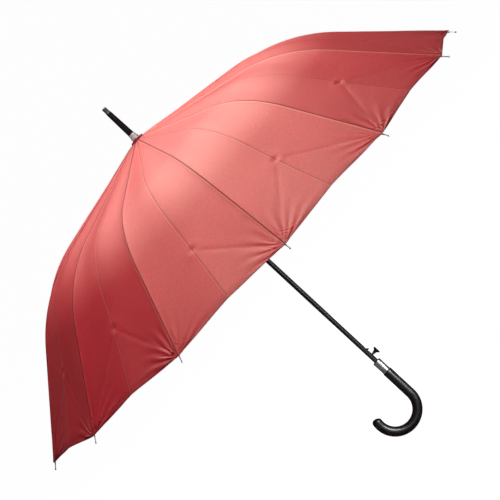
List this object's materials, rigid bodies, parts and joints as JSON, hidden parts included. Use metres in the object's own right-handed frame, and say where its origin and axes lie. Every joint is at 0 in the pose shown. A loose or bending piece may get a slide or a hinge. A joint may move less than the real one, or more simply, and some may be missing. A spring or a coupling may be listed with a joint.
{
  "type": "stick umbrella",
  "caption": "Full-length stick umbrella with a curved red canopy, folding ribs and stretchers, sprung runner, push-button catch and glossy black crook handle.",
  "frame": {"origin": "centre of the flat end of the ferrule, on the shaft's axis", "axes": "+Z out of the ferrule end, the shaft runs down -Z; the crook lies in the XZ plane and curls towards -X, the release button is on +X"},
  "size_m": [1.1674, 1.1674, 0.8765],
  "materials": {
    "fabric": "satin woven red polyester",
    "rosette": "dark red coated fabric disc",
    "black_enamel": "gloss black enamel",
    "gloss_black": "polished black moulding",
    "chrome": "polished",
    "steel": "zinc plated",
    "black_steel": "black coated pressed steel"
  },
  "bodies": {
    "frame": {"shaft": "black_enamel", "ferrule": "black_enamel", "ferrule_tip": "steel", "ferrule_cup": "chrome", "rosette": "rosette", "canopy": "fabric", "crown": "gloss_black", "crown_wire": "steel", "upper_stop": "steel", "handle_collar": "chrome", "crook_handle": "gloss_black"},
    "runner": {"runner": "gloss_black", "opening_spring": "steel"},
    "spring_hub": {"spring_hub": "gloss_black"},
    "release_button": {"release_button": "gloss_black"},
    "catch_spring": {"catch_spring": "steel"},
    "rib_inner_01": {"rib_inner_01": "black_steel"},
    "rib_outer_01": {"rib_outer_01": "steel"},
    "stretcher_01": {"stretcher_01": "black_steel"},
    "strut_01": {"strut_01": "black_steel"},
    "rib_inner_02": {"rib_inner_02": "black_steel"},
    "rib_outer_02": {"rib_outer_02": "steel"},
    "stretcher_02": {"stretcher_02": "black_steel"},
    "rib_inner_03": {"rib_inner_03": "black_steel"},
    "rib_outer_03": {"rib_outer_03": "steel"},
    "stretcher_03": {"stretcher_03": "black_steel"},
    "strut_03": {"strut_03": "black_steel"},
    "rib_inner_04": {"rib_inner_04": "black_steel"},
    "rib_outer_04": {"rib_outer_04": "steel", "closure_strap": "fabric"},
    "stretcher_04": {"stretcher_04": "black_steel"},
    "rib_inner_05": {"rib_inner_05": "black_steel"},
    "rib_outer_05": {"rib_outer_05": "steel"},
    "stretcher_05": {"stretcher_05": "black_steel"},
    "strut_05": {"strut_05": "black_steel"},
    "rib_inner_06": {"rib_inner_06": "black_steel"},
    "rib_outer_06": {"rib_outer_06": "steel"},
    "stretcher_06": {"stretcher_06": "black_steel"},
    "rib_inner_07": {"rib_inner_07": "black_steel"},
    "rib_outer_07": {"rib_outer_07": "steel"},
    "stretcher_07": {"stretcher_07": "black_steel"},
    "strut_07": {"strut_07": "black_steel"},
    "rib_inner_08": {"rib_inner_08": "black_steel"},
    "rib_outer_08": {"rib_outer_08": "steel"},
    "stretcher_08": {"stretcher_08": "black_steel"},
    "rib_inner_09": {"rib_inner_09": "black_steel"},
    "rib_outer_09": {"rib_outer_09": "steel"},
    "stretcher_09": {"stretcher_09": "black_steel"},
    "strut_09": {"strut_09": "black_steel"},
    "rib_inner_10": {"rib_inner_10": "black_steel"},
    "rib_outer_10": {"rib_outer_10": "steel"},
    "stretcher_10": {"stretcher_10": "black_steel"},
    "rib_inner_11": {"rib_inner_11": "black_steel"},
    "rib_outer_11": {"rib_outer_11": "steel"},
    "stretcher_11": {"stretcher_11": "black_steel"},
    "strut_11": {"strut_11": "black_steel"},
    "rib_inner_12": {"rib_inner_12": "black_steel"},
    "rib_outer_12": {"rib_outer_12": "steel"},
    "stretcher_12": {"stretcher_12": "black_steel"}
  },
  "joints": [
    {"name": "runner_slide", "type": "slide", "parent": "frame", "child": "runner", "axis": [0, 0, -1], "range_m": [0, 0.2887], "deforming": ["canopy", "opening_spring"]},
    {"name": "hub_slide", "type": "slide", "parent": "frame", "child": "spring_hub", "axis": [0, 0, -1], "range_m": [0, 0.34463]},
    {"name": "rib_01", "type": "hinge", "parent": "frame", "child": "rib_inner_01", "pos_m": [0.011, 0, -0.097], "axis": [0, 1, 0], "range_deg": [0, 72.95]},
    {"name": "rib_flex_01", "type": "hinge", "parent": "rib_inner_01", "child": "rib_outer_01", "pos_m": [0.34176, 0, -0.17865], "axis": [0, 1, 0], "range_deg": [-26.2, 0]},
    {"name": "stretcher_01", "type": "hinge", "parent": "rib_inner_01", "child": "stretcher_01", "pos_m": [0.24607, 0, -0.14981], "axis": [0, 1, 0], "range_deg": [-116.4, 0]},
    {"name": "strut_01", "type": "hinge", "parent": "stretcher_01", "child": "strut_01", "pos_m": [0.10481, 0, -0.27986], "axis": [0, 1, 0], "range_deg": [-41.95, 0]},
    {"name": "rib_02", "type": "hinge", "parent": "frame", "child": "rib_inner_02", "pos_m": [0.00953, 0.0055, -0.097], "axis": [-0.5, 0.866, 0], "range_deg": [0, 72.95]},
    {"name": "rib_flex_02", "type": "hinge", "parent": "rib_inner_02", "child": "rib_outer_02", "pos_m": [0.29598, 0.17088, -0.17865], "axis": [-0.5, 0.866, 0], "range_deg": [-26.2, 0]},
    {"name": "stretcher_02", "type": "hinge", "parent": "rib_inner_02", "child": "stretcher_02", "pos_m": [0.2131, 0.12303, -0.14981], "axis": [-0.5, 0.866, 0], "range_deg": [-116.4, 0]},
    {"name": "rib_03", "type": "hinge", "parent": "frame", "child": "rib_inner_03", "pos_m": [0.0055, 0.00953, -0.097], "axis": [-0.866, 0.5, 0], "range_deg": [0, 72.95]},
    {"name": "rib_flex_03", "type": "hinge", "parent": "rib_inner_03", "child": "rib_outer_03", "pos_m": [0.17088, 0.29598, -0.17865], "axis": [-0.866, 0.5, 0], "range_deg": [-26.2, 0]},
    {"name": "stretcher_03", "type": "hinge", "parent": "rib_inner_03", "child": "stretcher_03", "pos_m": [0.12303, 0.2131, -0.14981], "axis": [-0.866, 0.5, 0], "range_deg": [-116.4, 0]},
    {"name": "strut_03", "type": "hinge", "parent": "stretcher_03", "child": "strut_03", "pos_m": [0.05241, 0.09077, -0.27986], "axis": [-0.866, 0.5, 0], "range_deg": [-41.95, 0]},
    {"name": "rib_04", "type": "hinge", "parent": "frame", "child": "rib_inner_04", "pos_m": [0, 0.011, -0.097], "axis": [-1, 0, 0], "range_deg": [0, 72.95]},
    {"name": "rib_flex_04", "type": "hinge", "parent": "rib_inner_04", "child": "rib_outer_04", "pos_m": [0, 0.34176, -0.17865], "axis": [-1, 0, 0], "range_deg": [-26.2, 0]},
    {"name": "stretcher_04", "type": "hinge", "parent": "rib_inner_04", "child": "stretcher_04", "pos_m": [0, 0.24607, -0.14981], "axis": [-1, 0, 0], "range_deg": [-116.4, 0]},
    {"name": "rib_05", "type": "hinge", "parent": "frame", "child": "rib_inner_05", "pos_m": [-0.0055, 0.00953, -0.097], "axis": [-0.866, -0.5, 0], "range_deg": [0, 72.95]},
    {"name": "rib_flex_05", "type": "hinge", "parent": "rib_inner_05", "child": "rib_outer_05", "pos_m": [-0.17088, 0.29598, -0.17865], "axis": [-0.866, -0.5, 0], "range_deg": [-26.2, 0]},
    {"name": "stretcher_05", "type": "hinge", "parent": "rib_inner_05", "child": "stretcher_05", "pos_m": [-0.12303, 0.2131, -0.14981], "axis": [-0.866, -0.5, 0], "range_deg": [-116.4, 0]},
    {"name": "strut_05", "type": "hinge", "parent": "stretcher_05", "child": "strut_05", "pos_m": [-0.05241, 0.09077, -0.27986], "axis": [-0.866, -0.5, 0], "range_deg": [-41.95, 0]},
    {"name": "rib_06", "type": "hinge", "parent": "frame", "child": "rib_inner_06", "pos_m": [-0.00953, 0.0055, -0.097], "axis": [-0.5, -0.866, 0], "range_deg": [0, 72.95]},
    {"name": "rib_flex_06", "type": "hinge", "parent": "rib_inner_06", "child": "rib_outer_06", "pos_m": [-0.29598, 0.17088, -0.17865], "axis": [-0.5, -0.866, 0], "range_deg": [-26.2, 0]},
    {"name": "stretcher_06", "type": "hinge", "parent": "rib_inner_06", "child": "stretcher_06", "pos_m": [-0.2131, 0.12303, -0.14981], "axis": [-0.5, -0.866, 0], "range_deg": [-116.4, 0]},
    {"name": "rib_07", "type": "hinge", "parent": "frame", "child": "rib_inner_07", "pos_m": [-0.011, 0, -0.097], "axis": [0, -1, 0], "range_deg": [0, 72.95]},
    {"name": "rib_flex_07", "type": "hinge", "parent": "rib_inner_07", "child": "rib_outer_07", "pos_m": [-0.34176, 0, -0.17865], "axis": [0, -1, 0], "range_deg": [-26.2, 0]},
    {"name": "stretcher_07", "type": "hinge", "parent": "rib_inner_07", "child": "stretcher_07", "pos_m": [-0.24607, 0, -0.14981], "axis": [0, -1, 0], "range_deg": [-116.4, 0]},
    {"name": "strut_07", "type": "hinge", "parent": "stretcher_07", "child": "strut_07", "pos_m": [-0.10481, 0, -0.27986], "axis": [0, -1, 0], "range_deg": [-41.95, 0]},
    {"name": "rib_08", "type": "hinge", "parent": "frame", "child": "rib_inner_08", "pos_m": [-0.00953, -0.0055, -0.097], "axis": [0.5, -0.866, 0], "range_deg": [0, 72.95]},
    {"name": "rib_flex_08", "type": "hinge", "parent": "rib_inner_08", "child": "rib_outer_08", "pos_m": [-0.29598, -0.17088, -0.17865], "axis": [0.5, -0.866, 0], "range_deg": [-26.2, 0]},
    {"name": "stretcher_08", "type": "hinge", "parent": "rib_inner_08", "child": "stretcher_08", "pos_m": [-0.2131, -0.12303, -0.14981], "axis": [0.5, -0.866, 0], "range_deg": [-116.4, 0]},
    {"name": "rib_09", "type": "hinge", "parent": "frame", "child": "rib_inner_09", "pos_m": [-0.0055, -0.00953, -0.097], "axis": [0.866, -0.5, 0], "range_deg": [0, 72.95]},
    {"name": "rib_flex_09", "type": "hinge", "parent": "rib_inner_09", "child": "rib_outer_09", "pos_m": [-0.17088, -0.29598, -0.17865], "axis": [0.866, -0.5, 0], "range_deg": [-26.2, 0]},
    {"name": "stretcher_09", "type": "hinge", "parent": "rib_inner_09", "child": "stretcher_09", "pos_m": [-0.12303, -0.2131, -0.14981], "axis": [0.866, -0.5, 0], "range_deg": [-116.4, 0]},
    {"name": "strut_09", "type": "hinge", "parent": "stretcher_09", "child": "strut_09", "pos_m": [-0.05241, -0.09077, -0.27986], "axis": [0.866, -0.5, 0], "range_deg": [-41.95, 0]},
    {"name": "rib_10", "type": "hinge", "parent": "frame", "child": "rib_inner_10", "pos_m": [0, -0.011, -0.097], "axis": [1, 0, 0], "range_deg": [0, 72.95]},
    {"name": "rib_flex_10", "type": "hinge", "parent": "rib_inner_10", "child": "rib_outer_10", "pos_m": [0, -0.34176, -0.17865], "axis": [1, 0, 0], "range_deg": [-26.2, 0]},
    {"name": "stretcher_10", "type": "hinge", "parent": "rib_inner_10", "child": "stretcher_10", "pos_m": [0, -0.24607, -0.14981], "axis": [1, 0, 0], "range_deg": [-116.4, 0]},
    {"name": "rib_11", "type": "hinge", "parent": "frame", "child": "rib_inner_11", "pos_m": [0.0055, -0.00953, -0.097], "axis": [0.866, 0.5, 0], "range_deg": [0, 72.95]},
    {"name": "rib_flex_11", "type": "hinge", "parent": "rib_inner_11", "child": "rib_outer_11", "pos_m": [0.17088, -0.29598, -0.17865], "axis": [0.866, 0.5, 0], "range_deg": [-26.2, 0]},
    {"name": "stretcher_11", "type": "hinge", "parent": "rib_inner_11", "child": "stretcher_11", "pos_m": [0.12303, -0.2131, -0.14981], "axis": [0.866, 0.5, 0], "range_deg": [-116.4, 0]},
    {"name": "strut_11", "type": "hinge", "parent": "stretcher_11", "child": "strut_11", "pos_m": [0.05241, -0.09077, -0.27986], "axis": [0.866, 0.5, 0], "range_deg": [-41.95, 0]},
    {"name": "rib_12", "type": "hinge", "parent": "frame", "child": "rib_inner_12", "pos_m": [0.00953, -0.0055, -0.097], "axis": [0.5, 0.866, 0], "range_deg": [0, 72.95]},
    {"name": "rib_flex_12", "type": "hinge", "parent": "rib_inner_12", "child": "rib_outer_12", "pos_m": [0.29598, -0.17088, -0.17865], "axis": [0.5, 0.866, 0], "range_deg": [-26.2, 0]},
    {"name": "stretcher_12", "type": "hinge", "parent": "rib_inner_12", "child": "stretcher_12", "pos_m": [0.2131, -0.12303, -0.14981], "axis": [0.5, 0.866, 0], "range_deg": [-116.4, 0]},
    {"name": "button_press", "type": "slide", "parent": "frame", "child": "release_button", "axis": [-1, 0, 0], "range_m": [0, 0.0022], "stiffness_N_per_m": 600},
    {"name": "catch_bend", "type": "hinge", "parent": "frame", "child": "catch_spring", "pos_m": [0.00275, 0, -0.739], "axis": [0, 1, 0], "range_deg": [-6, 0]}
  ],
  "couplings": [
    {"joint": "hub_slide", "follows": "runner_slide", "ratio": 1.192},
    {"joint": "rib_01", "follows": "runner_slide", "rad_per_m": 4.3978},
    {"joint": "rib_flex_01", "follows": "runner_slide", "rad_per_m": -1.5718},
    {"joint": "stretcher_01", "follows": "runner_slide", "rad_per_m": -7.0248},
    {"joint": "strut_01", "follows": "runner_slide", "rad_per_m": -2.5241},
    {"joint": "rib_02", "follows": "runner_slide", "rad_per_m": 4.3978},
    {"joint": "rib_flex_02", "follows": "runner_slide", "rad_per_m": -1.5718},
    {"joint": "stretcher_02", "follows": "runner_slide", "rad_per_m": -7.0248},
    {"joint": "rib_03", "follows": "runner_slide", "rad_per_m": 4.3978},
    {"joint": "rib_flex_03", "follows": "runner_slide", "rad_per_m": -1.5718},
    {"joint": "stretcher_03", "follows": "runner_slide", "rad_per_m": -7.0248},
    {"joint": "strut_03", "follows": "runner_slide", "rad_per_m": -2.5241},
    {"joint": "rib_04", "follows": "runner_slide", "rad_per_m": 4.3978},
    {"joint": "rib_flex_04", "follows": "runner_slide", "rad_per_m": -1.5718},
    {"joint": "stretcher_04", "follows": "runner_slide", "rad_per_m": -7.0248},
    {"joint": "rib_05", "follows": "runner_slide", "rad_per_m": 4.3978},
    {"joint": "rib_flex_05", "follows": "runner_slide", "rad_per_m": -1.5718},
    {"joint": "stretcher_05", "follows": "runner_slide", "rad_per_m": -7.0248},
    {"joint": "strut_05", "follows": "runner_slide", "rad_per_m": -2.5241},
    {"joint": "rib_06", "follows": "runner_slide", "rad_per_m": 4.3978},
    {"joint": "rib_flex_06", "follows": "runner_slide", "rad_per_m": -1.5718},
    {"joint": "stretcher_06", "follows": "runner_slide", "rad_per_m": -7.0248},
    {"joint": "rib_07", "follows": "runner_slide", "rad_per_m": 4.3978},
    {"joint": "rib_flex_07", "follows": "runner_slide", "rad_per_m": -1.5718},
    {"joint": "stretcher_07", "follows": "runner_slide", "rad_per_m": -7.0248},
    {"joint": "strut_07", "follows": "runner_slide", "rad_per_m": -2.5241},
    {"joint": "rib_08", "follows": "runner_slide", "rad_per_m": 4.3978},
    {"joint": "rib_flex_08", "follows": "runner_slide", "rad_per_m": -1.5718},
    {"joint": "stretcher_08", "follows": "runner_slide", "rad_per_m": -7.0248},
    {"joint": "rib_09", "follows": "runner_slide", "rad_per_m": 4.3978},
    {"joint": "rib_flex_09", "follows": "runner_slide", "rad_per_m": -1.5718},
    {"joint": "stretcher_09", "follows": "runner_slide", "rad_per_m": -7.0248},
    {"joint": "strut_09", "follows": "runner_slide", "rad_per_m": -2.5241},
    {"joint": "rib_10", "follows": "runner_slide", "rad_per_m": 4.3978},
    {"joint": "rib_flex_10", "follows": "runner_slide", "rad_per_m": -1.5718},
    {"joint": "stretcher_10", "follows": "runner_slide", "rad_per_m": -7.0248},
    {"joint": "rib_11", "follows": "runner_slide", "rad_per_m": 4.3978},
    {"joint": "rib_flex_11", "follows": "runner_slide", "rad_per_m": -1.5718},
    {"joint": "stretcher_11", "follows": "runner_slide", "rad_per_m": -7.0248},
    {"joint": "strut_11", "follows": "runner_slide", "rad_per_m": -2.5241},
    {"joint": "rib_12", "follows": "runner_slide", "rad_per_m": 4.3978},
    {"joint": "rib_flex_12", "follows": "runner_slide", "rad_per_m": -1.5718},
    {"joint": "stretcher_12", "follows": "runner_slide", "rad_per_m": -7.0248},
    {"joint": "catch_bend", "follows": "button_press", "rad_per_m": -43.478}
  ]
}
